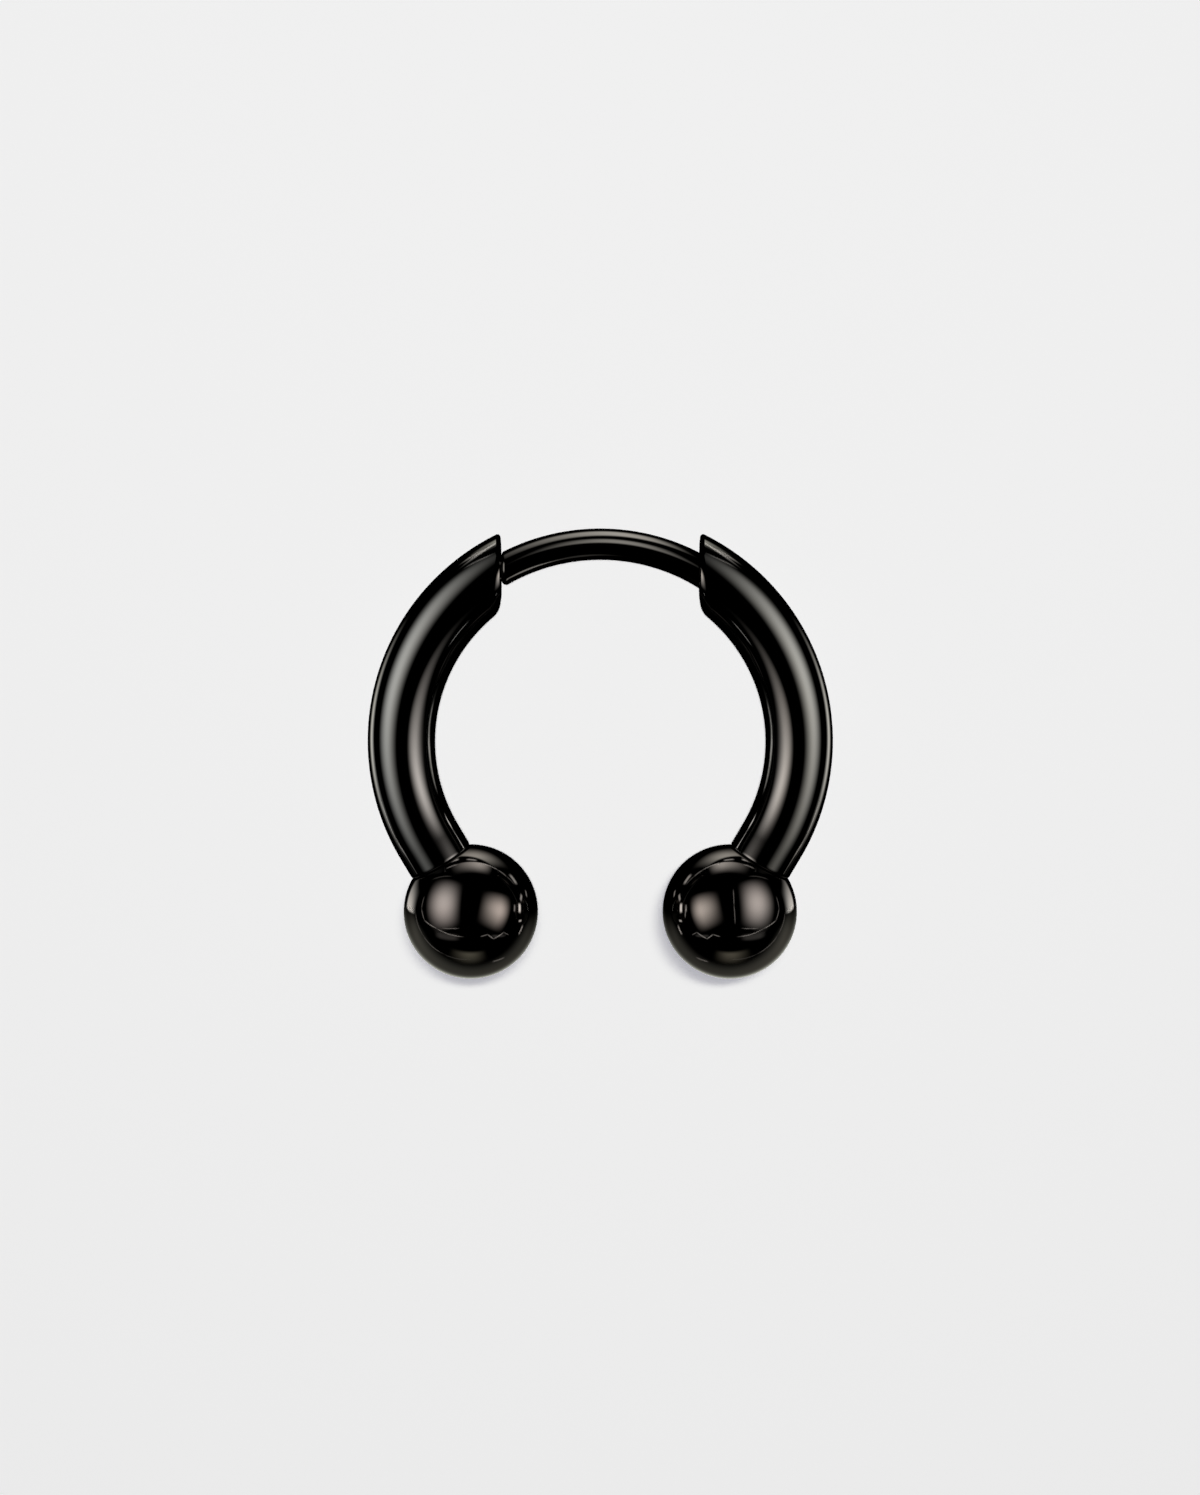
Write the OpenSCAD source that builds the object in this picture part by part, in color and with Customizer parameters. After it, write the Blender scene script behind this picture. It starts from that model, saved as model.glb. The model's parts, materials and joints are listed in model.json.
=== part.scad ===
// Horseshoe barbell: two thick curved arms with a ball on each lower end, joined over the top by a
// thin post. The left arm pulls off the post's pin. It lies on its side, on both balls and both tips.
// Millimetres. The ring is drawn flat round the Z axis, open towards -Y, and then laid down.

/* [Arms] */
// Radius of the centre line that the arms and the post share
ring_r = 7.5; // [6.8:0.05:8.5]
// Thickness of the arms
arm_d = 2.54; // [2.2:0.02:2.9]
// Distance from the middle of the ring to the cut face of each arm
cut_x = 3.73; // [3.2:0.01:4.2]
// How far the sharp point above each cut face is taken back
tip_bevel = 0.14; // [0.05:0.01:0.3]
// Angle below the middle at which the arms stop bending
bend_end = 30; // [24:1:36]
// Straight length from there to the arm's end
straight_len = 0.9; // [0.4:0.05:1.6]
// Bevel round the arm's end, where the ball sits
end_bevel = 0.08; // [0.02:0.01:0.2]

/* [Balls] */
// Diameter of the balls
ball_d = 5.1; // [4.4:0.05:5.8]
// Thickness of the stub on the arm that holds the ball
stub_d = 1.6; // [1.2:0.05:1.8]
// Length of that stub
stub_len = 2; // [1.4:0.1:2.6]

/* [Post] */
// Thickness of the post that passes through the piercing
post_d = 1.17; // [1:0.01:1.6]
// Thickness of the tenon that holds the post in the right arm
tenon_d = 0.86; // [0.6:0.02:0.94]
// Length of that tenon
tenon_len = 1.8; // [1.2:0.1:2.4]
// Thickness of the pin on the post's free end
pin_d = 0.72; // [0.5:0.02:0.8]
// Length of that pin inside the left arm
pin_len = 2.4; // [1.6:0.1:2.8]
// Bevel on the tips of the pin and the tenon
pin_bevel = 0.1; // [0.04:0.01:0.2]

/* [Fits] */
// Gap all round the pin in the left arm's bore
pin_gap = 0.04; // [0.02:0.01:0.08]
// Gap between the post's shoulder and the left arm's cut face
shoulder_gap = 0.04; // [0.03:0.01:0.15]
// Gap round and under what is set for good: the tenon in the right arm and the stubs in the balls
seat_gap = 0.02; // [0.01:0.01:0.04]
// Gap between each arm's end and the flat on its ball
ball_gap = 0.03; // [0.02:0.01:0.06]

/* [Hidden] */
$fn = 96;

arm_r = arm_d / 2;
ball_r = ball_d / 2;
post_r = post_d / 2;
tenon_r = tenon_d / 2;
pin_r = pin_d / 2;
stub_r = stub_d / 2;
outer_r = ring_r + arm_r;

// Angle by which the bars are bent past the faces that cut them off
spare_angle = 4;

// The centre line meets a cut face at cut_angle, and the outside of the arm meets it at point_angle
cut_angle = acos(cut_x / ring_r);
point_angle = acos(cut_x / outer_r);

// The ball's flat is as wide as the arm, which sets how far the flat lies from the ball's middle
flat_to_ball = sqrt(ball_r * ball_r - arm_r * arm_r);
flat_at = straight_len + ball_gap;
ball_at = flat_at + flat_to_ball;
ball_y = ring_r * sin(bend_end) + ball_at * cos(bend_end);

// The ring leans until each ball and the lower edge of each cut face touch the floor together.
// edge_y is where that edge lies when the touching point has moved outwards round the arm by turn,
// and each next_lean comes closer to the angle at which both heights agree.
function edge_y(turn) = sqrt(pow(ring_r + arm_r * sin(turn), 2) - cut_x * cut_x);
function touch_turn(angle) = atan(ring_r / edge_y(0) * tan(angle));
function edge_drop(angle) = arm_r * cos(touch_turn(angle)) * cos(angle);
function next_lean(angle) = asin((ball_r - edge_drop(angle)) / (ball_y + edge_y(touch_turn(angle))));
lean = next_lean(next_lean(next_lean(next_lean(0))));
lift = ball_r - ball_y * sin(lean);

// The origin is on the floor under the middle of the laid part's box
back_y = max(ring_r * cos(lean) + post_r, outer_r * sin(point_angle) * cos(lean));
front_y = ball_y * cos(lean) + ball_r;
middle_y = (back_y - front_y) / 2;

// Lays the ring on its side, with its balls to -Y
module laid() {
    translate([0, -middle_y, lift]) rotate([-lean, 0, 0]) children();
}

// Turns the right side over onto the left, because both faces of the ring are alike
module on_left() {
    rotate([0, 180, 0]) children();
}

// Places children on the centre line, where +Z runs along it clockwise
module along_ring(angle) {
    translate([ring_r * cos(angle), ring_r * sin(angle), 0]) rotate([90, 0, angle]) children();
}

// Round bar bent along the centre line
module bent_bar(radius, from, to) {
    rotate([0, 0, from]) rotate_extrude(angle = to - from) translate([ring_r, 0]) circle(radius);
}

// Everything in the upper half of the ring between two planes square to X
module upper_slab(from, to) {
    translate([from, 0, -arm_d]) cube([to - from, outer_r, 2 * arm_d]);
}

// The sharp point above the cut face, cut off square to the line that halves it
module sharp_point() {
    size = 2 * arm_d;
    translate([cut_x, outer_r * sin(point_angle), 0]) rotate([0, 0, point_angle / 2 - 90])
        translate([tip_bevel - size, -size / 2, -size / 2]) cube(size);
}

// Bar of the right arm with the stub that holds its ball, before it is bored
module arm_bar() {
    difference() {
        union() {
            bent_bar(arm_r, -bend_end, point_angle + spare_angle);
            along_ring(-bend_end) {
                cylinder(r = arm_r, h = straight_len - end_bevel);
                translate([0, 0, straight_len - end_bevel])
                    cylinder(r1 = arm_r, r2 = arm_r - end_bevel, h = end_bevel);
                cylinder(r = stub_r, h = straight_len + stub_len);
            }
        }
        upper_slab(-outer_r, cut_x);
        sharp_point();
    }
}

// Ball of the right arm, seated round the stub
module ball() {
    along_ring(-bend_end) difference() {
        translate([0, 0, ball_at]) sphere(ball_r);
        translate([0, 0, flat_at - ball_r]) cylinder(r = ball_r, h = ball_r);
        cylinder(r = stub_r + seat_gap, h = straight_len + stub_len + seat_gap);
    }
}

// Straight pin on the post's right end, rooted inside the post
module end_pin(radius, length) {
    along_ring(cut_angle) {
        translate([0, 0, -post_r]) cylinder(r = radius, h = post_r + length - pin_bevel);
        translate([0, 0, length - pin_bevel])
            cylinder(r1 = radius, r2 = radius - pin_bevel, h = pin_bevel);
    }
}

// Bore in the right arm for such a pin, open at the cut face
module pin_bore(radius, length, gap) {
    along_ring(cut_angle) translate([0, 0, -arm_r]) cylinder(r = radius + gap, h = arm_r + length + gap);
}

module post() {
    color("#242428") laid() {
        difference() {
            bent_bar(post_r, cut_angle - spare_angle, 180 - cut_angle + spare_angle);
            upper_slab(cut_x - seat_gap, outer_r);
            on_left() upper_slab(cut_x - shoulder_gap, outer_r);
        }
        end_pin(tenon_r, tenon_len);
        on_left() end_pin(pin_r, pin_len);
    }
}

module right_arm() {
    color("#1a1a1d") laid() difference() {
        arm_bar();
        pin_bore(tenon_r, tenon_len, seat_gap);
    }
}

module right_ball() {
    color("#1e1e21") laid() ball();
}

module left_arm() {
    color("#1a1a1d") laid() on_left() difference() {
        arm_bar();
        pin_bore(pin_r, pin_len, pin_gap);
    }
}

module left_ball() {
    color("#1e1e21") laid() on_left() ball();
}

post();
right_arm();
right_ball();
left_arm();
left_ball();
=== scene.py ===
import json
import math

import bmesh
import bpy
from mathutils import Matrix, Vector


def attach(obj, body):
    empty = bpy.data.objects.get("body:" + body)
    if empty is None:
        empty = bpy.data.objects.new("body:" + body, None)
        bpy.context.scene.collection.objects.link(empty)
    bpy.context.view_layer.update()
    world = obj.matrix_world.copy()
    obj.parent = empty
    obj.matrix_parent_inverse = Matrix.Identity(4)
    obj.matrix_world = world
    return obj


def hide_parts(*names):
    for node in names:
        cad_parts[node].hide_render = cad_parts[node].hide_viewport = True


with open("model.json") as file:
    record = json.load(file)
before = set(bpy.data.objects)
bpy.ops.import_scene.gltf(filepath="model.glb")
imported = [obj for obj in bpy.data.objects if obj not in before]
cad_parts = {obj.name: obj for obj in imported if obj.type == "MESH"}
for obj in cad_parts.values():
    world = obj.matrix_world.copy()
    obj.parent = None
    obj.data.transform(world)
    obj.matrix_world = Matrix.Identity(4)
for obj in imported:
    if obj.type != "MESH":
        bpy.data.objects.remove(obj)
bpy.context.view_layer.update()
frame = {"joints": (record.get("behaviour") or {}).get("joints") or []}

mm = 0.001
weld = 0.00005 * mm         # points closer than this are one
sharpFrom = math.radians(32)    # an edge that turns more than this stays crisp

# What the five pieces share: the ring's centre line, the upright cuts and where the bend ends
ring = {
    "radius": 7.5 * mm,
    "cutX": 3.73 * mm,
    "bendEnd": math.radians(30),
    "roundSides": 160,      # faces round the arms and balls, enough for a clean mirror
}


def addNode(tree, kind, inputs=None, **settings):
    node = tree.nodes.new(kind)
    for name, value in settings.items():
        setattr(node, name, value)
    for socket, value in (inputs or {}).items():
        if isinstance(value, bpy.types.NodeSocket):
            tree.links.new(value, node.inputs[socket])
        else:
            node.inputs[socket].default_value = value
    return node


# A round bar bent along the ring and cut off upright. The grid's rows run along the bar, over the cut's
# rounded rim, across its face and down the pin or bore in it, and each row is one turn round the bar.
def makeBentBarTree():
    tree = bpy.data.node_groups.new("bentBar", "GeometryNodeTree")
    tree.interface.new_socket("Geometry", in_out="OUTPUT", socket_type="NodeSocketGeometry")
    sizes = ["ringRadius", "barRadius", "fromAngle", "cutX", "cutSide", "rimOuter", "rimInner", "rimFrom",
             "rimGrowth", "rimSwing", "pinAngle", "pinRadius", "pinLength", "pinBevel"]
    for name in sizes:
        tree.interface.new_socket(name, in_out="INPUT", socket_type="NodeSocketFloat")
    for name in ["sides", "barRows", "rimRows"]:
        tree.interface.new_socket(name, in_out="INPUT", socket_type="NodeSocketInt")
    tree.interface.new_socket("finish", in_out="INPUT", socket_type="NodeSocketMaterial")
    given = addNode(tree, "NodeGroupInput").outputs

    # Rows at which the rim, the face, the pin's wall and its end begin
    faceRows = 3.0
    wallRows = 4.0
    rimFrom = given["barRows"]
    rimTo = addNode(tree, "ShaderNodeMath", {0: rimFrom, 1: given["rimRows"]}, operation="ADD").outputs[0]
    faceTo = addNode(tree, "ShaderNodeMath", {0: rimTo, 1: faceRows}, operation="ADD").outputs[0]
    wallTo = addNode(tree, "ShaderNodeMath", {0: faceTo, 1: wallRows}, operation="ADD").outputs[0]
    bevelTo = addNode(tree, "ShaderNodeMath", {0: wallTo, 1: 1.0}, operation="ADD").outputs[0]
    endTo = addNode(tree, "ShaderNodeMath", {0: bevelTo, 1: 1.0}, operation="ADD").outputs[0]
    rows = addNode(tree, "ShaderNodeMath", {0: endTo, 1: 1.0}, operation="ADD").outputs[0]
    columns = addNode(tree, "ShaderNodeMath", {0: given["sides"], 1: 1.0}, operation="ADD").outputs[0]
    grid = addNode(tree, "GeometryNodeMeshGrid", {"Vertices X": rows, "Vertices Y": columns})

    index = addNode(tree, "GeometryNodeInputIndex").outputs[0]
    part = addNode(tree, "ShaderNodeMath", {0: index, 1: columns}, operation="DIVIDE").outputs[0]
    row = addNode(tree, "ShaderNodeMath", {0: part}, operation="FLOOR").outputs[0]
    column = addNode(tree, "ShaderNodeMath", {0: index, 1: columns}, operation="FLOORED_MODULO").outputs[0]
    turn = addNode(tree, "ShaderNodeMapRange", {"Value": column, "From Max": given["sides"],
                                               "To Max": math.tau}).outputs[0]
    cosTurn = addNode(tree, "ShaderNodeMath", {0: turn}, operation="COSINE").outputs[0]
    sinTurn = addNode(tree, "ShaderNodeMath", {0: turn}, operation="SINE").outputs[0]
    outward = addNode(tree, "ShaderNodeCombineXYZ", {"X": cosTurn, "Z": sinTurn}).outputs[0]
    centreLine = addNode(tree, "ShaderNodeCombineXYZ", {"X": given["ringRadius"]}).outputs[0]

    # The rim's rounding grows from the ring's outside to its inside. At both of these it rolls right over
    # into the face, and half way between them it stops short of it by a crisp edge.
    inwards = addNode(tree, "ShaderNodeMapRange", {"Value": cosTurn, "From Min": given["rimFrom"],
                                                  "From Max": -1.0}).outputs[0]
    inwards = addNode(tree, "ShaderNodeMath", {0: inwards, 1: given["rimGrowth"]},
                      operation="POWER").outputs[0]
    rimRadius = addNode(tree, "ShaderNodeMapRange", {"Value": inwards, "To Min": given["rimOuter"],
                                                    "To Max": given["rimInner"]}).outputs[0]

    crispTo = 0.5
    fullFrom = 0.95
    ends = addNode(tree, "ShaderNodeMath", {0: cosTurn}, operation="ABSOLUTE").outputs[0]
    swing = addNode(tree, "ShaderNodeMapRange", {"Value": ends, "From Min": crispTo, "From Max": fullFrom,
                                                "To Min": given["rimSwing"]}).outputs[0]
    away = addNode(tree, "ShaderNodeMath", {0: given["cutSide"], 1: -1.0}, operation="MULTIPLY").outputs[0]
    cutNormal = addNode(tree, "ShaderNodeCombineXYZ", {"X": away}).outputs[0]

    # Where the bar would meet the cut without a rounding, and how far its last normal there leans to it
    reach = addNode(tree, "ShaderNodeMath", {0: cosTurn, 1: given["barRadius"], 2: given["ringRadius"]},
                    operation="MULTIPLY_ADD").outputs[0]
    cutShare = addNode(tree, "ShaderNodeMath", {0: given["cutX"], 1: reach}, operation="DIVIDE").outputs[0]
    sharpAngle = addNode(tree, "ShaderNodeMath", {0: cutShare}, operation="ARCCOSINE").outputs[0]
    lastNormal = addNode(tree, "ShaderNodeVectorRotate", {"Vector": outward, "Angle": sharpAngle},
                         rotation_type="Z_AXIS").outputs[0]
    lastNormal = addNode(tree, "ShaderNodeMix", {"Factor": swing, 4: lastNormal, 5: cutNormal},
                         data_type="VECTOR").outputs[1]
    lastNormal = addNode(tree, "ShaderNodeVectorMath", {0: lastNormal}, operation="NORMALIZE").outputs[0]
    leant = addNode(tree, "ShaderNodeSeparateXYZ", {0: lastNormal}).outputs["X"]
    leant = addNode(tree, "ShaderNodeMath", {0: leant, 1: -1.0}, operation="MULTIPLY").outputs[0]

    # The middle of the rounding, once round the bar, and the angle at which it reaches the cut
    inset = addNode(tree, "ShaderNodeMath", {0: given["barRadius"], 1: rimRadius},
                    operation="SUBTRACT").outputs[0]
    core = addNode(tree, "ShaderNodeVectorMath", {0: outward, 1: inset}, operation="MULTIPLY").outputs[0]
    core = addNode(tree, "ShaderNodeVectorMath", {0: core, 1: centreLine}, operation="ADD").outputs[0]
    coreX = addNode(tree, "ShaderNodeSeparateXYZ", {0: core}).outputs["X"]
    insetX = addNode(tree, "ShaderNodeMath", {0: leant, 1: rimRadius, 2: given["cutX"]},
                     operation="MULTIPLY_ADD").outputs[0]
    share = addNode(tree, "ShaderNodeMath", {0: insetX, 1: coreX}, operation="DIVIDE").outputs[0]
    edgeAngle = addNode(tree, "ShaderNodeMath", {0: share}, operation="ARCCOSINE").outputs[0]
    angle = addNode(tree, "ShaderNodeMapRange", {"Value": row, "From Max": rimFrom, "To Max": edgeAngle,
                                                "To Min": given["fromAngle"]}).outputs[0]
    normal = addNode(tree, "ShaderNodeVectorRotate", {"Vector": outward, "Angle": angle},
                     rotation_type="Z_AXIS").outputs[0]
    core = addNode(tree, "ShaderNodeVectorRotate", {"Vector": core, "Angle": angle},
                   rotation_type="Z_AXIS").outputs[0]

    # Over the rim the normal swings from the bar's own towards the cut's
    rolled = addNode(tree, "ShaderNodeMapRange", {"Value": row, "From Min": rimFrom, "From Max": rimTo,
                                                 "To Max": swing})
    swung = addNode(tree, "ShaderNodeMix", {"Factor": rolled.outputs[0], 4: normal, 5: cutNormal},
                    data_type="VECTOR").outputs[1]
    swung = addNode(tree, "ShaderNodeVectorMath", {0: swung}, operation="NORMALIZE").outputs[0]
    bar = addNode(tree, "ShaderNodeVectorMath", {0: swung, 1: rimRadius, 2: core},
                  operation="MULTIPLY_ADD").outputs[0]

    # The pin or bore, straight along the ring's tangent, from where its wall meets the cut
    bevelled = addNode(tree, "ShaderNodeMapRange", {"Value": row, "From Min": wallTo, "From Max": bevelTo,
                                                   "To Max": given["pinBevel"]}).outputs[0]
    closed = addNode(tree, "ShaderNodeMapRange", {"Value": row, "From Min": bevelTo, "From Max": endTo,
                                                 "To Min": 1.0, "To Max": 0.0}).outputs[0]
    radius = addNode(tree, "ShaderNodeMath", {0: given["pinRadius"], 1: bevelled},
                     operation="SUBTRACT").outputs[0]
    radius = addNode(tree, "ShaderNodeMath", {0: radius, 1: closed}, operation="MULTIPLY").outputs[0]
    wall = addNode(tree, "ShaderNodeVectorMath", {0: outward, 1: radius, 2: centreLine},
                   operation="MULTIPLY_ADD").outputs[0]
    wallX = addNode(tree, "ShaderNodeSeparateXYZ", {0: wall}).outputs["X"]
    cosPin = addNode(tree, "ShaderNodeMath", {0: given["pinAngle"]}, operation="COSINE").outputs[0]
    sinPin = addNode(tree, "ShaderNodeMath", {0: given["pinAngle"]}, operation="SINE").outputs[0]
    reached = addNode(tree, "ShaderNodeMath", {0: wallX, 1: cosPin}, operation="MULTIPLY").outputs[0]
    toCut = addNode(tree, "ShaderNodeMath", {0: given["cutX"], 1: reached}, operation="SUBTRACT").outputs[0]
    toCut = addNode(tree, "ShaderNodeMath", {0: toCut, 1: sinPin}, operation="DIVIDE").outputs[0]
    straight = addNode(tree, "ShaderNodeMath", {0: given["pinLength"], 1: given["pinBevel"]},
                       operation="SUBTRACT").outputs[0]
    along = addNode(tree, "ShaderNodeMapRange", {"Value": row, "From Min": faceTo, "From Max": wallTo,
                                                "To Min": toCut, "To Max": straight}).outputs[0]
    along = addNode(tree, "ShaderNodeMath", {0: along, 1: bevelled}, operation="ADD").outputs[0]
    alongVector = addNode(tree, "ShaderNodeCombineXYZ", {"Y": along}).outputs[0]
    pin = addNode(tree, "ShaderNodeVectorMath", {0: wall, 1: alongVector}, operation="SUBTRACT").outputs[0]
    pin = addNode(tree, "ShaderNodeVectorRotate", {"Vector": pin, "Angle": given["pinAngle"]},
                  rotation_type="Z_AXIS").outputs[0]

    # Across the face the rows close in from the rim to the pin or bore
    crossed = addNode(tree, "ShaderNodeMapRange", {"Value": row, "From Min": rimTo, "From Max": faceTo})
    place = addNode(tree, "ShaderNodeMix", {"Factor": crossed.outputs[0], 4: bar, 5: pin},
                    data_type="VECTOR").outputs[1]
    moved = addNode(tree, "GeometryNodeSetPosition", {"Geometry": grid.outputs["Mesh"], "Position": place})
    merged = addNode(tree, "GeometryNodeMergeByDistance", {"Geometry": moved.outputs[0], "Distance": weld})
    real = addNode(tree, "GeometryNodeRealizeInstances", {"Geometry": merged.outputs[0]})
    finished = addNode(tree, "GeometryNodeSetMaterial", {"Geometry": real.outputs[0],
                                                        "Material": given["finish"]})
    addNode(tree, "NodeGroupOutput", {"Geometry": finished.outputs[0]})
    return tree


def bentBar(tree, finish, values):
    holder = bpy.data.objects.new("bentBarHolder", bpy.data.meshes.new("bentBarHolder"))
    bpy.context.scene.collection.objects.link(holder)
    modifier = holder.modifiers.new("bentBar", "NODES")
    modifier.node_group = tree
    named = {item.name: item.identifier for item in tree.interface.items_tree if item.in_out == "INPUT"}
    for name, value in {**values, "finish": finish}.items():
        modifier[named[name]] = value
    bpy.context.view_layer.update()
    evaluated = holder.evaluated_get(bpy.context.evaluated_depsgraph_get())
    mesh = bpy.data.meshes.new_from_object(evaluated)
    holder.modifiers.remove(modifier)
    bpy.data.objects.remove(holder)
    return mesh


# Adds a turned surface round the local Z axis. The profile is a list of (radius, height), and a radius of
# nothing closes it in a point.
def addTurned(shape, profile, place, sides):
    rows = []
    for radius, height in profile:
        if radius == 0:
            rows.append([shape.verts.new(place @ Vector((0, 0, height)))])
            continue
        turns = [math.tau * k / sides for k in range(sides)]
        rows.append([shape.verts.new(place @ Vector((radius * math.cos(t), radius * math.sin(t), height)))
                     for t in turns])
    for low, high in zip(rows, rows[1:]):
        for k in range(sides):
            ahead = k + 1
            corners = [low[k % len(low)], low[ahead % len(low)],
                       high[ahead % len(high)], high[k % len(high)]]
            shape.faces.new(list(dict.fromkeys(corners)))


def arc(centre, radius, fromAngle, toAngle, steps):
    angles = [fromAngle + (toAngle - fromAngle) * k / steps for k in range(steps + 1)]
    return [(centre[0] + radius * math.cos(a), centre[1] + radius * math.sin(a)) for a in angles]


# Places a turned surface on the centre line, where its Z runs along the ring clockwise
def alongRing(angle):
    return (Matrix.Rotation(angle, 4, "Z") @ Matrix.Translation((ring["radius"], 0, 0))
            @ Matrix.Rotation(math.pi / 2, 4, "X"))


def makePiece(name, shape, place, finish, body, node):
    bmesh.ops.transform(shape, matrix=place, verts=shape.verts)
    bmesh.ops.remove_doubles(shape, verts=shape.verts, dist=weld)
    bmesh.ops.recalc_face_normals(shape, faces=shape.faces)
    mesh = bpy.data.meshes.new(name)
    shape.to_mesh(mesh)
    shape.free()
    mesh.materials.clear()
    mesh.materials.append(finish)
    mesh.shade_smooth()
    mesh.set_sharp_from_angle(angle=sharpFrom)
    piece = bpy.data.objects.new(name, mesh)
    bpy.context.scene.collection.objects.link(piece)
    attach(piece, body)
    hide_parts(node)
    print(name, len(mesh.polygons), "faces")


def linear(hexColour):
    channels = [int(hexColour[k:k + 2], 16) / 255 for k in (1, 3, 5)]
    return [c / 12.92 if c <= 0.04045 else ((c + 0.055) / 1.055) ** 2.4 for c in channels] + [1.0]


arm = {
    "radius": 1.27 * mm,
    "rimOuter": 0.11 * mm,      # rounding of the cut's rim on the outside of the ring
    "rimInner": 0.8 * mm,       # and on its inside, where it catches the light as a wedge
    "rimFrom": 0.72,            # where it starts to grow: 1 is the ring's outside, -1 its inside
    "rimGrowth": 0.8,           # below 1 it grows faster at first
    "rimSwing": 0.34,           # share of the way to the face's direction that it rolls half way round
    "rows": 170,
    "rimRows": 24,
    "straight": 0.9 * mm,
    "straightRows": 12,
    "endRound": 0.08 * mm,
    "endRoundSteps": 6,
    "stubRadius": 0.8 * mm,
    "stubLength": 2.0 * mm,
}
ball = {
    "radius": 2.55 * mm,
    "rows": 90,
    "gap": 0.03 * mm,
    "seatGap": 0.02 * mm,
}
post = {
    "radius": 0.585 * mm,
    "tenonRadius": 0.43 * mm,
    "tenonLength": 1.8 * mm,
    "pinRadius": 0.36 * mm,
    "pinLength": 2.4 * mm,
    "pinBevel": 0.1 * mm,
    "pinGap": 0.04 * mm,
    "shoulderGap": 0.04 * mm,
    "shoulderRound": 0.17 * mm,     # on the end that the left arm pulls off
    "seatRound": 0.02 * mm,         # on the end that is set in the right arm
    "roundSides": 96,
    "rows": 60,
    "rimRows": 8,
}

flatToBall = math.sqrt(ball["radius"] ** 2 - arm["radius"] ** 2)
flatAt = arm["straight"] + ball["gap"]
ballAt = flatAt + flatToBall
ballY = ring["radius"] * math.sin(ring["bendEnd"]) + ballAt * math.cos(ring["bendEnd"])
cutAngle = math.acos(ring["cutX"] / ring["radius"])

# The ring leans until both balls and both tips touch the floor, which the joint's axis also tells
pull = Vector(frame["joints"][0]["axis"])
lean = math.atan2(pull.z, -pull.y)
backY = ring["radius"] * math.cos(lean) + post["radius"]
frontY = ballY * math.cos(lean) + ball["radius"]
lift = ball["radius"] - ballY * math.sin(lean)
laid = Matrix.Translation((0, (frontY - backY) / 2, lift)) @ Matrix.Rotation(-lean, 4, "X")
onLeft = laid @ Matrix.Rotation(math.pi, 4, "Y")
print("ring laid down, leaning", round(math.degrees(lean), 2), "degrees")


# Surgical steel under a black coat laid on in vapour, which keeps the polish below it: a black mirror.
# The bars were buffed along their length, so fine lines run that way and blur a reflection a little
# across them. The balls were tumbled, which leaves an even, finer polish without a direction.
finishes = {
    "buffedBar": {"thin": "#3c3b39", "thick": "#373839", "edge": "#aeaeae", "polish": (0.035, 0.06),
                  "line": 0.05 * mm,        # drawn twice as wide as real buffing lines, to show at all
                  "stretch": 45, "depth": 0.00006 * mm},
    "tumbledBall": {"thin": "#3c3a39", "thick": "#393837", "edge": "#aeaeae", "polish": (0.03, 0.05),
                    "line": 0.12 * mm, "stretch": 1, "depth": 0.00004 * mm},
    "drawnPost": {"thin": "#3d3b39", "thick": "#383837", "edge": "#aeaeae", "polish": (0.04, 0.075),
                  "line": 0.04 * mm, "stretch": 30, "depth": 0.00006 * mm},
}


# A place given by its distance from the ring's axis, its height above the ring and its way along it,
# which is counted from the top so that it starts and ends in the ring's mouth
def ringPlace(tree, stretch):
    place = addNode(tree, "ShaderNodeTexCoord").outputs["Object"]
    flat = addNode(tree, "ShaderNodeMapping", {"Vector": place, "Location": laid.to_translation(),
                                               "Rotation": (-lean, 0, 0)}, vector_type="TEXTURE").outputs[0]
    axes = addNode(tree, "ShaderNodeSeparateXYZ", {0: flat}).outputs
    level = addNode(tree, "ShaderNodeVectorMath", {0: flat, 1: (1, 1, 0)}, operation="MULTIPLY").outputs[0]
    out = addNode(tree, "ShaderNodeVectorMath", {0: level}, operation="LENGTH").outputs["Value"]
    angle = addNode(tree, "ShaderNodeMath", {0: axes["X"], 1: axes["Y"]}, operation="ARCTAN2").outputs[0]
    along = addNode(tree, "ShaderNodeMath", {0: angle, 1: ring["radius"] / stretch},
                    operation="MULTIPLY").outputs[0]
    return addNode(tree, "ShaderNodeCombineXYZ", {"X": out, "Y": axes["Z"], "Z": along}).outputs[0]


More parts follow.
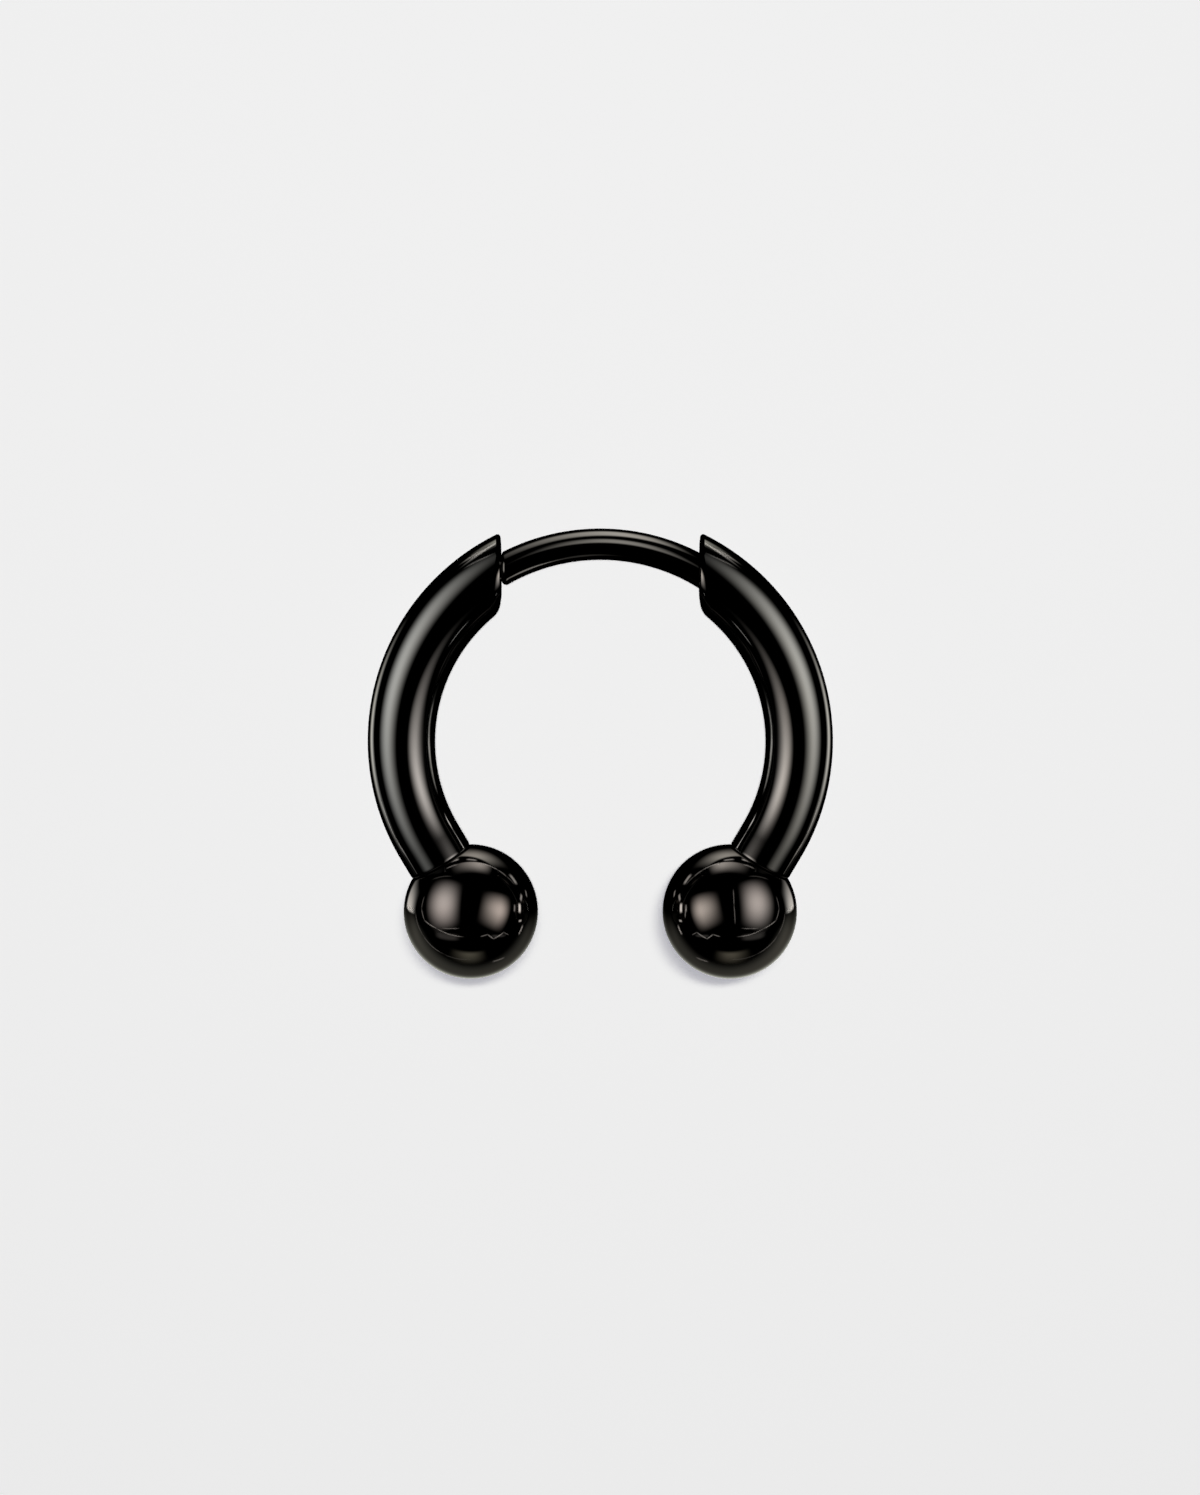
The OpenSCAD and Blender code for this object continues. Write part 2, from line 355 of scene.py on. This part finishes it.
def blackCoat(name):
    values = finishes[name]
    material = bpy.data.materials.new(name)
    material.use_nodes = True
    tree = material.node_tree
    shader = tree.nodes["Principled BSDF"]
    shader.inputs["Metallic"].default_value = 1.0
    shader.inputs["Specular Tint"].default_value = linear(values["edge"])
    place = ringPlace(tree, values["stretch"])

    # The coat is a little thicker here and there
    driftSize = 2 * mm
    drift = addNode(tree, "ShaderNodeTexNoise", {"Vector": place, "Scale": 1 / driftSize, "Detail": 2.0})
    drifted = addNode(tree, "ShaderNodeMapRange", {"Value": drift.outputs[0], "From Min": 0.35,
                                                  "From Max": 0.65})
    colour = addNode(tree, "ShaderNodeMix", {"Factor": drifted.outputs[0], 6: linear(values["thin"]),
                                             7: linear(values["thick"])}, data_type="RGBA").outputs[2]
    tree.links.new(colour, shader.inputs["Base Color"])

    # Polishing lines make the gloss a little uneven and stand up by less than a tenth of a micrometre
    polishing = addNode(tree, "ShaderNodeTexNoise", {"Vector": place, "Scale": 1 / values["line"],
                                                     "Detail": 3.0, "Roughness": 0.6}).outputs[0]
    low, high = values["polish"]
    roughness = addNode(tree, "ShaderNodeMapRange", {"Value": polishing, "From Min": 0.3, "From Max": 0.7,
                                                    "To Min": low, "To Max": high}).outputs[0]
    tree.links.new(roughness, shader.inputs["Roughness"])
    relief = addNode(tree, "ShaderNodeBump", {"Height": polishing, "Strength": 1.0,
                                              "Distance": values["depth"]}).outputs[0]
    tree.links.new(relief, shader.inputs["Normal"])
    return material


buffedBar = blackCoat("buffedBar")
tumbledBall = blackCoat("tumbledBall")
drawnPost = blackCoat("drawnPost")
print("finishes made:", ", ".join(finishes))

tree = makeBentBarTree()
for side, place, holeRadius, holeLength in [
        ("right", laid, post["tenonRadius"] + ball["seatGap"], post["tenonLength"] + ball["seatGap"]),
        ("left", onLeft, post["pinRadius"] + post["pinGap"], post["pinLength"] + post["pinGap"])]:
    bar = bentBar(tree, buffedBar, {
        "ringRadius": ring["radius"], "barRadius": arm["radius"], "fromAngle": -ring["bendEnd"],
        "cutX": ring["cutX"], "cutSide": 1.0, "rimOuter": arm["rimOuter"], "rimInner": arm["rimInner"],
        "rimFrom": arm["rimFrom"], "rimGrowth": arm["rimGrowth"], "rimSwing": arm["rimSwing"],
        "pinAngle": cutAngle, "pinRadius": holeRadius, "pinLength": holeLength, "pinBevel": 0.0,
        "sides": ring["roundSides"], "barRows": arm["rows"], "rimRows": arm["rimRows"]})
    shape = bmesh.new()
    shape.from_mesh(bar)
    endRound = arm["endRound"]
    stubTop = arm["straight"] + arm["stubLength"]
    rows = arm["straightRows"]
    profile = [(arm["radius"], arm["straight"] * k / rows) for k in range(rows - 1)]
    profile += arc((arm["radius"] - endRound, arm["straight"] - endRound), endRound, 0, math.pi / 2,
                   arm["endRoundSteps"])
    profile += [(arm["stubRadius"], arm["straight"]), (arm["stubRadius"], stubTop), (0, stubTop)]
    addTurned(shape, profile, alongRing(-ring["bendEnd"]), ring["roundSides"])
    makePiece(side + "ArmBar", shape, place, buffedBar, side + "_side", side + "_arm")

    shape = bmesh.new()
    socket = arm["stubRadius"] + ball["seatGap"]
    socketEnd = arm["straight"] + arm["stubLength"] + ball["seatGap"]
    edgeTurn = math.asin(arm["radius"] / ball["radius"])
    profile = [(0, socketEnd), (socket, socketEnd), (socket, flatAt), (arm["radius"], flatAt)]
    profile += arc((0, ballAt), ball["radius"], edgeTurn - math.pi / 2, math.pi / 2, ball["rows"])[1:-1]
    profile += [(0, ballAt + ball["radius"])]
    addTurned(shape, profile, alongRing(-ring["bendEnd"]), ring["roundSides"])
    makePiece(side + "Ball", shape, place, tumbledBall, side + "_side", side + "_ball")

shape = bmesh.new()
for turnOver, gap, rimRound, pinRadius, pinLength in [
        (Matrix.Identity(4), ball["seatGap"], post["seatRound"], post["tenonRadius"], post["tenonLength"]),
        (Matrix.Rotation(math.pi, 4, "Y"), post["shoulderGap"], post["shoulderRound"], post["pinRadius"],
         post["pinLength"])]:
    bar = bentBar(tree, drawnPost, {
        "ringRadius": ring["radius"], "barRadius": post["radius"], "fromAngle": math.pi / 2,
        "cutX": ring["cutX"] - gap, "cutSide": -1.0, "rimOuter": rimRound, "rimInner": rimRound,
        "rimFrom": 1.0, "rimGrowth": 1.0, "rimSwing": 1.0, "pinAngle": cutAngle, "pinRadius": pinRadius,
        "pinLength": pinLength, "pinBevel": post["pinBevel"], "sides": post["roundSides"],
        "barRows": post["rows"], "rimRows": post["rimRows"]})
    bar.transform(turnOver)
    shape.from_mesh(bar)
makePiece("postBar", shape, laid, drawnPost, "right_side", "post")

# Studio lights. Each stands in the ring's own frame, in millimetres, as the left arm, the left ball or the
# post sees it, and the right pieces have the same lights mirrored. A piece sees its own lights alone,
# because each shows as one clean shape in a black mirror. Panels fade in from their left, right, lower and
# upper edge over a share of their size. Strips run from one point to another. Other programs made most of
# these numbers: all panels but shoulder were fitted to the brightness and colour of the photograph, and
# all strips but endLine were worked out from places picked in it. A script then rounded them.
# About one in seven of the fitted panels' numbers and the width of one strip were changed.
lookAts = {"arm": (-7.5, 0, 0), "ball": (-4.9, -6.5, 0), "post": (0, 7.5, 0)}
upY = (0, 1, 0)
upZ = (0, 0, 1)
panels = {
    "arm": {
        "outerBand": {"at": (-55, 8, 43), "size": (86, 154), "glow": 12.2, "tint": "#fffdf6",
                      "soft": (0.6, 0.65, 0.6, 0.55), "up": upY, "roll": 13},
        "innerBand": {"at": (45, -8, 38), "size": (79, 55), "glow": 16.2, "tint": "#fff4ea",
                      "soft": (0.55, 0.55, 0.95, 0.4), "up": upY, "roll": 23},
        "outerLine": {"at": (-64, -8, -30), "size": (34, 86), "glow": 22.5, "tint": "#fffef9",
                      "soft": (0.5, 0.6, 0.75, 0.6), "up": upY, "roll": 21},
        "innerLine": {"at": (52, -12, -24), "size": (19, 39), "glow": 5.7, "tint": "#fffcf2",
                      "soft": (0.55, 0.85, 0.95, 0.3), "up": upY, "roll": -20},
        "tipPatch": {"at": (-33, 57, -17), "size": (20, 47), "glow": 7.0, "tint": "#fffff4",
                     "soft": (0.5, 0.75, 0.3, 0.7), "up": upZ, "roll": 4},
    },
    "ball": {
        "outerBlob": {"at": (-52, 14, 40), "size": (88, 118), "glow": 19.0, "tint": "#fff6f0",
                      "soft": (0.8, 0.65, 0.65, 0.6), "up": upY, "roll": 14},
        "innerBlob": {"at": (40, 4, 46), "size": (74, 81), "glow": 11.5, "tint": "#fff2e8",
                      "soft": (0.65, 0.4, 0.7, 0.55), "up": upY, "roll": -24},
        "nearArc": {"at": (-4, 58, -2), "size": (67, 31), "glow": 9.3, "tint": "#fff7ef",
                    "soft": (0.4, 0.95, 0.1, 0.85), "up": upZ, "roll": 4},
        "farArc": {"at": (1, 42, -43), "size": (83, 39), "glow": 8.3, "tint": "#fffaf0",
                   "soft": (0.6, 0.65, 0.8, 0.15), "up": upZ, "roll": -25},
        "crescent": {"at": (-59, 0, -36), "size": (46, 31), "glow": 21.0, "tint": "#fefffa",
                     "soft": (0.2, 0.7, 0.1, 0.95), "up": upY, "roll": 1},
        "lowerBlob": {"at": (-9, -69, 16), "size": (63, 42), "glow": 2.1, "tint": "#fff8dc",
                      "soft": (0.75, 0.6, 0.9, 0.25), "up": upZ, "roll": -1},
        "lowerRim": {"at": (-11, -57, -40), "size": (360, 121), "glow": 3.3, "tint": "#fdfeee",
                     "soft": (0.5, 0.65, 0.5, 0.95), "up": upZ, "roll": -6},
    },
    "post": {
        "shoulder": {"at": (-52, 11, 38), "size": (50, 70), "glow": 4.5, "tint": "#fffdf7",
                     "soft": (0.3, 0.3, 0.3, 0.3), "up": upY, "roll": 0},
        "upperLine": {"at": (-7, 72, -1), "size": (100, 70), "glow": 10.6, "tint": "#fffcf5",
                      "soft": (0.4, 0.95, 0.4, 0.3), "up": upZ, "roll": 14},
        "lowerLine": {"at": (2, 39, 57), "size": (44, 45), "glow": 8.9, "tint": "#fffdf7",
                      "soft": (0.95, 0.6, 0.35, 0.4), "up": upY, "roll": -4},
    },
}
strips = {
    "arm": {
        "outerThreadLow": {"from": (-64, -26, -18), "to": (-59, -36, -17), "width": 5.5,
                           "glow": 5.6},
        "outerThreadEnd": {"from": (-59, -36, -17), "to": (-57, -42, -7), "width": 7,
                           "glow": 4.0},
        "innerThread": {"from": (52, 15, -21), "to": (50, 19, -24), "width": 7.5,
                        "glow": 11.5},
        "innerLineLow": {"from": (49, -22, -22), "to": (53, -13, -20), "width": 9.5,
                         "glow": 2.6},
        "innerLineMiddle": {"from": (53, -13, -20), "to": (50, -4, -31), "width": 10.5,
                            "glow": 4.2},
        "innerLineHigh": {"from": (50, -4, -31), "to": (51, 5, -27), "width": 8.5, "glow": 2.4},
        "tipEdge": {"from": (-41, 50, -25), "to": (-39, 56, -10), "width": 10, "glow": 3.9},
        "tipSpot": {"from": (-38, 55, -15), "to": (-34, 59, -9), "width": 31, "glow": 5.5},
        "bandEdge": {"from": (-45, 52, 7), "to": (-35, 54, 25), "width": 4.5, "glow": 1.7},
        "endLine": {"from": (35, -43, 24), "to": (40, -37, 24), "width": 3, "glow": 5.0},
    },
    "ball": {
        "cloudLeft": {"from": (-30, 48, -26), "to": (-20, 51, -26), "width": 8, "glow": 5.6},
        "cloudRight": {"from": (-11, 54, -23), "to": (2, 55, -21), "width": 6, "glow": 4.6},
        "glintHigh": {"from": (40, 33, -25), "to": (49, 22, -22), "width": 9.5, "glow": 5.1},
        "glintUpper": {"from": (55, 10, -21), "to": (58, 5, -12), "width": 6.5, "glow": 5.5},
        "glintBright": {"from": (59, 3, -7), "to": (60, -9, -3), "width": 9, "glow": 13.9},
        "glintInner": {"from": (59, 5, 6), "to": (59, -5, 10), "width": 5, "glow": 3.4},
        "glintLow": {"from": (59, -20, -1), "to": (58, -20, -9), "width": 4, "glow": 7.4},
        "glintLowest": {"from": (55, -26, -14), "to": (52, -37, -10), "width": 5.5,
                        "glow": 5.6},
        "glintOuter": {"from": (47, 7, -37), "to": (51, 2, -33), "width": 5.5, "glow": 4.6},
        "wallHigh": {"from": (-67, 13, -2), "to": (-70, -3, 0), "width": 2.5, "glow": 1.7},
        "wallLow": {"from": (-70, -3, 0), "to": (-68, -17, 9), "width": 2.5, "glow": 2.5},
        "horizonLeft": {"from": (-68, -17, 9), "to": (-58, -27, 32), "width": 2.5, "glow": 3.7},
        "horizonMiddle": {"from": (-58, -27, 32), "to": (-17, -40, 54), "width": 2.5,
                          "glow": 3.0},
        "horizonUpper": {"from": (-50, -26, 42), "to": (-24, -25, 59), "width": 2, "glow": 2.4},
        "ridgeOne": {"from": (14, -40, 52), "to": (26, -37, 49), "width": 2.5, "glow": 3.0},
        "ridgeTwo": {"from": (26, -37, 49), "to": (33, -44, 37), "width": 2.5, "glow": 3.7},
        "ridgeThree": {"from": (33, -44, 37), "to": (47, -34, 27), "width": 3, "glow": 3.7},
        "ridgeFour": {"from": (47, -34, 27), "to": (50, -38, 15), "width": 1.5, "glow": 2.4},
        "streakLow": {"from": (19, -66, -7), "to": (29, -59, -17), "width": 6, "glow": 1.9},
        "arcEdgeLeft": {"from": (-37, 48, -12), "to": (-23, 55, -13), "width": 4.5, "glow": 2.5},
        "arcEdgeOne": {"from": (9, 55, -15), "to": (31, 46, -15), "width": 3.5, "glow": 3.1},
        "arcEdgeTwo": {"from": (31, 46, -15), "to": (41, 37, -15), "width": 4, "glow": 2.2},
        "arcEdgeThree": {"from": (41, 37, -15), "to": (50, 25, -17), "width": 3.5, "glow": 1.1},
        "blobTop": {"from": (-55, 34, -10), "to": (-34, 51, 11), "width": 3, "glow": 0.6},
        "belowHorizon": {"from": (-57, -35, 26), "to": (-24, -41, 52), "width": 17,
                         "glow": 0.6},
        "belowRidge": {"from": (31, -39, 43), "to": (48, -39, 21), "width": 6.5, "glow": 0.5},
        "divideHigh": {"from": (-9, 42, 43), "to": (-10, 17, 60), "width": 2, "glow": 2.4,
                       "only": "right"},
        "divideLow": {"from": (-10, 17, 60), "to": (-12, -16, 64), "width": 2, "glow": 2.4,
                      "only": "right"},
        "blobEdge": {"from": (59, 1, 8), "to": (59, -14, 8), "width": 3, "glow": 3.7,
                     "only": "right"},
        "floorEdgeLeft": {"from": (-68, -11, -17), "to": (-63, -36, -6), "width": 4,
                          "glow": 1.1},
        "floorEdgeMiddle": {"from": (-63, -36, -6), "to": (-41, -60, 7), "width": 3.5,
                            "glow": 1.3},
        "floorEdgeRight": {"from": (-41, -60, 7), "to": (-8, -70, 15), "width": 3.5,
                           "glow": 0.5},
    },
    "post": {
        "underLine": {"from": (23, -51, 15), "to": (14, -56, 0), "width": 17, "glow": 3.8},
        "faintLine": {"from": (11, -57, -1), "to": (0, -56, 15), "width": 19.5, "glow": 0.5},
    },
}
stripLook = {
    "soft": (0.3, 0.3, 0.4, 0.4),
    "tint": "#fffaf4",
    "overlap": 1.2,         # strips are this much longer than from end to end, so that they join
}


def addLight(name, place, size, values, soft):
    data = bpy.data.lights.new(name, "AREA")
    data.shape = "RECTANGLE"
    data.size = size[0] * mm
    data.size_y = size[1] * mm
    data.color = linear(values["tint"])[:3]
    data.energy = values["glow"] * math.pi * data.size * data.size_y
    data.use_nodes = True
    tree = data.node_tree
    emission = next(n for n in tree.nodes if n.type == "EMISSION")
    across = addNode(tree, "ShaderNodeNewGeometry").outputs["Parametric"]
    across = addNode(tree, "ShaderNodeSeparateXYZ", {0: across}).outputs
    left, right, low, high = soft
    strength = 1.0
    for socket, edge, width in [("X", 0, left), ("X", 1, -right), ("Y", 0, low), ("Y", 1, -high)]:
        fade = addNode(tree, "ShaderNodeMapRange", {"Value": across[socket], "From Min": edge,
                                                   "From Max": edge + width},
                       interpolation_type="SMOOTHSTEP")
        strength = addNode(tree, "ShaderNodeMath", {0: fade.outputs[0], 1: strength},
                           operation="MULTIPLY").outputs[0]
    tree.links.new(strength, emission.inputs["Strength"])
    light = bpy.data.objects.new(name, data)
    bpy.context.scene.collection.objects.link(light)
    light.matrix_world = place
    light.visible_camera = False
    return light


# Where a light or the camera stands when it looks along -back with its width along side
def facing(at, side, back):
    turned = Matrix((side, back.cross(side), back)).transposed().to_4x4()
    return Matrix.Translation(at * mm) @ turned


# A piece's lights reach that piece alone, and nothing else stands in their way
def onlyFor(light, piece):
    light.visible_diffuse = False
    light.light_linking.receiver_collection = piece
    light.light_linking.blocker_collection = piece


for owner, kind, mirrored in [("leftArmBar", "arm", False), ("rightArmBar", "arm", True),
                              ("leftBall", "ball", False), ("rightBall", "ball", True),
                              ("postBar", "post", False)]:
    receivers = bpy.data.collections.new(owner + "Lights")
    receivers.objects.link(bpy.data.objects[owner])
    flip = Matrix.Diagonal((-1 if mirrored else 1, 1, 1))
    lookAt = flip @ Vector(lookAts[kind])
    for name, values in panels[kind].items():
        at = flip @ Vector(values["at"])
        back = (at - lookAt).normalized()
        side = Vector(values["up"]).cross(back).normalized()
        roll = math.radians(-values["roll"] if mirrored else values["roll"])
        side = Matrix.Rotation(roll, 3, back) @ side
        left, right, low, high = values["soft"]
        soft = (right, left, low, high) if mirrored else (left, right, low, high)
        light = addLight(owner + "." + name, laid @ facing(at, side, back), values["size"], values, soft)
        onlyFor(light, receivers)
    for name, values in strips[kind].items():
        if values.get("only") == "right" and not mirrored:
            continue
        start = flip @ Vector(values["from"])
        end = flip @ Vector(values["to"])
        at = (start + end) / 2
        side = (end - start).normalized()
        back = at - lookAt
        back = (back - side * back.dot(side)).normalized()
        size = ((end - start).length * stripLook["overlap"], values["width"])
        light = addLight(owner + "." + name, laid @ facing(at, side, back), size,
                         {**values, "tint": stripLook["tint"]}, stripLook["soft"])
        onlyFor(light, receivers)
print("lights for the metal:", len(bpy.data.lights))

# Camera, over the ring and a little towards its top. Lengths in the picture are in its own pixels.
camera = {
    "image": (1200, 1495),
    "focalLength": 2744,
    "distance": 2740,
    "elevation": math.radians(8.21),    # how far it leans back from looking straight along the ring's axis
    "ringCentre": (600.3, 743.1),
    "pixel": 0.037772 * mm,             # what one of them is at the middle of the ring
    "sensor": 36,
    "clip": (0.005, 20),
}
tipped = laid.to_3x3() @ Matrix.Rotation(-camera["elevation"], 3, "X")
toCamera = tipped @ Vector((0, 0, 1))
pictureUp = tipped @ Vector((0, 1, 0))
pictureRight = pictureUp.cross(toCamera)
centre = laid.to_translation()
beside = (camera["ringCentre"][0] - camera["image"][0] / 2) * camera["pixel"]
below = (camera["ringCentre"][1] - camera["image"][1] / 2) * camera["pixel"]
aim = centre - pictureRight * beside + pictureUp * below
where = centre + toCamera * camera["distance"] * camera["pixel"]
back = (where - aim).normalized()
sideways = pictureUp.cross(back).normalized()
data = bpy.data.cameras.new("camera")
data.sensor_width = camera["sensor"]
data.lens = camera["focalLength"] / max(camera["image"]) * camera["sensor"]
data.clip_start, data.clip_end = camera["clip"]
view = bpy.data.objects.new("camera", data)
bpy.context.scene.collection.objects.link(view)
view.matrix_world = facing(where / mm, sideways, back)
bpy.context.scene.camera = view
bpy.context.scene.view_settings.view_transform = "Standard"
print("camera", round((where - centre).length / mm), "mm from the ring's middle")

# Floor. A far lamp above gives the soft shadow below each ball. A small lamp on the camera's side gives the
# whole ring a light shadow, which shows from elsewhere and lies behind the ring in the picture. The
# rest of the floor's brightness is its own.
floorLook = {
    "reach": 3.0,           # metres from the ring to each edge
    "colour": "#efefef",
    "roughness": 0.9,
    "lit": 0.46,            # share of its brightness that the far lamp gives and its shadow takes away
    "lampTilt": math.radians(23),
    "lampSide": 2400,
    "lampAway": 40000,      # millimetres, so far that the floor is equally bright all over
    "lampSize": (13200, 4400),
    "lampTint": "#fffff4",  # its shadow is left a touch bluer
    "lampSoft": (0.5, 0.5, 0.5, 0.5),
    "nearLit": 0.18,        # the same share for the near lamp
    "nearAway": 160,        # millimetres from the middle of the ring
    "nearSize": (5, 5),
}
reach = floorLook["reach"]
corners = [(-reach, -reach, 0), (reach, -reach, 0), (reach, reach, 0), (-reach, reach, 0)]
floorMesh = bpy.data.meshes.new("floor")
floorMesh.from_pydata(corners, [], [(0, 1, 2, 3)])
floor = bpy.data.objects.new("floor", floorMesh)
bpy.context.scene.collection.objects.link(floor)
floor.visible_glossy = False
paper = bpy.data.materials.new("mattPaper")
paper.use_nodes = True
paperShader = paper.node_tree.nodes["Principled BSDF"]
paperShader.inputs["Roughness"].default_value = floorLook["roughness"]
paperShader.inputs["Specular IOR Level"].default_value = 0.0
paperShader.inputs["Base Color"].default_value = linear(floorLook["colour"])
unlit = [1 - floorLook["nearLit"] - floorLook["lit"] * c for c in linear(floorLook["lampTint"])[:3]]
paperShader.inputs["Emission Color"].default_value = [a * b for a, b in zip(
    linear(floorLook["colour"]), unlit)] + [1]
paperShader.inputs["Emission Strength"].default_value = 1.0
floorMesh.materials.append(paper)

tilt = floorLook["lampTilt"]
lampAt = Vector((floorLook["lampSide"], floorLook["lampAway"] * math.sin(tilt),
                 floorLook["lampAway"] * math.cos(tilt)))
lit = bpy.data.collections.new("litByLamps")
lit.objects.link(floor)
for name, at, share, size, tint in [
        ("lamp", lampAt, floorLook["lit"], floorLook["lampSize"], floorLook["lampTint"]),
        ("nearLamp", centre / mm + toCamera * floorLook["nearAway"], floorLook["nearLit"],
         floorLook["nearSize"], "#ffffff")]:
    back = at.normalized()
    left, right, low, high = floorLook["lampSoft"]
    area = size[0] * (1 - (left + right) / 2) * size[1] * (1 - (low + high) / 2)
    glow = share * math.pi * at.length_squared / (area * back.z)
    lamp = addLight(name, facing(at, Vector((0, 1, 0)).cross(back).normalized(), back), size,
                    {"tint": tint, "glow": glow}, floorLook["lampSoft"])
    lamp.visible_glossy = False
    lamp.light_linking.receiver_collection = lit
balls = bpy.data.collections.new("ballsShadeFloor")
for name in ["leftBall", "rightBall"]:
    balls.objects.link(bpy.data.objects[name])
bpy.data.objects["lamp"].light_linking.blocker_collection = balls

world = bpy.data.worlds.new("studio")
bpy.context.scene.world = world
world.use_nodes = True
world.node_tree.nodes["Background"].inputs[0].default_value = linear(floorLook["colour"])
world.node_tree.nodes["Background"].inputs[1].default_value = 1 - floorLook["nearLit"]   # as the far floor
world.cycles_visibility.glossy = False
world.cycles_visibility.diffuse = False
print("floor and lamp placed")
